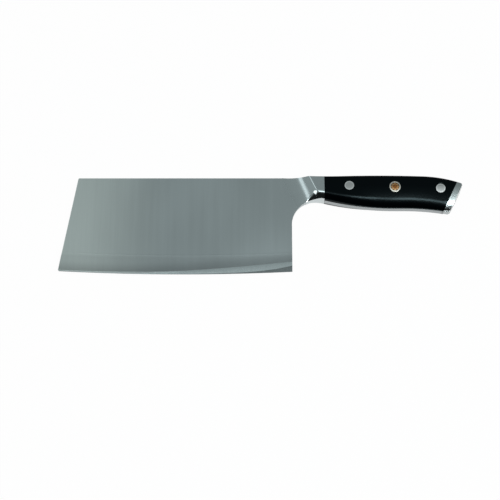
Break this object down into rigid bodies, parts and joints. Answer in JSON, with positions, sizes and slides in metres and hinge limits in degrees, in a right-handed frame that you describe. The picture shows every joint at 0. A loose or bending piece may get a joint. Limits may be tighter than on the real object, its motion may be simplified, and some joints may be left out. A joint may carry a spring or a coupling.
{
  "type": "meat cleaver",
  "caption": "Cleaver with a deep satin blade, flared steel bolster, black riveted handle scales with a mosaic pin, and a steel end cap.",
  "frame": {"origin": "middle of the underside of the box round the knife as it lies on its side", "axes": "+X from the tip towards the butt, +Y from the cutting edge towards the spine, +Z out of the near face of the blade"},
  "size_m": [0.309, 0.0803, 0.0188],
  "materials": {
    "blade_steel": "satin, brushed from spine to edge",
    "bolster_steel": "polished",
    "tang_steel": "ground flush and polished",
    "cap_steel": "polished",
    "grip_resin": "polished black resin",
    "rivet_steel": "ground flush, satin",
    "pin_tube_steel": "ground flush, satin",
    "pin_brass": "ground flush",
    "pin_copper": "darkened copper, ground flush",
    "pin_resin": "black epoxy"
  },
  "bodies": {
    "root": {"blade": "blade_steel", "bolster": "bolster_steel", "tang": "tang_steel", "end_cap": "cap_steel", "scale_near": "grip_resin", "scale_far": "grip_resin", "rivet_front_socket": "rivet_steel", "rivet_front_stud": "rivet_steel", "rivet_rear_socket": "rivet_steel", "rivet_rear_stud": "rivet_steel", "mosaic_tube": "pin_tube_steel", "mosaic_rods": "pin_brass", "mosaic_core": "pin_copper", "mosaic_resin": "pin_resin"}
  },
  "joints": []
}
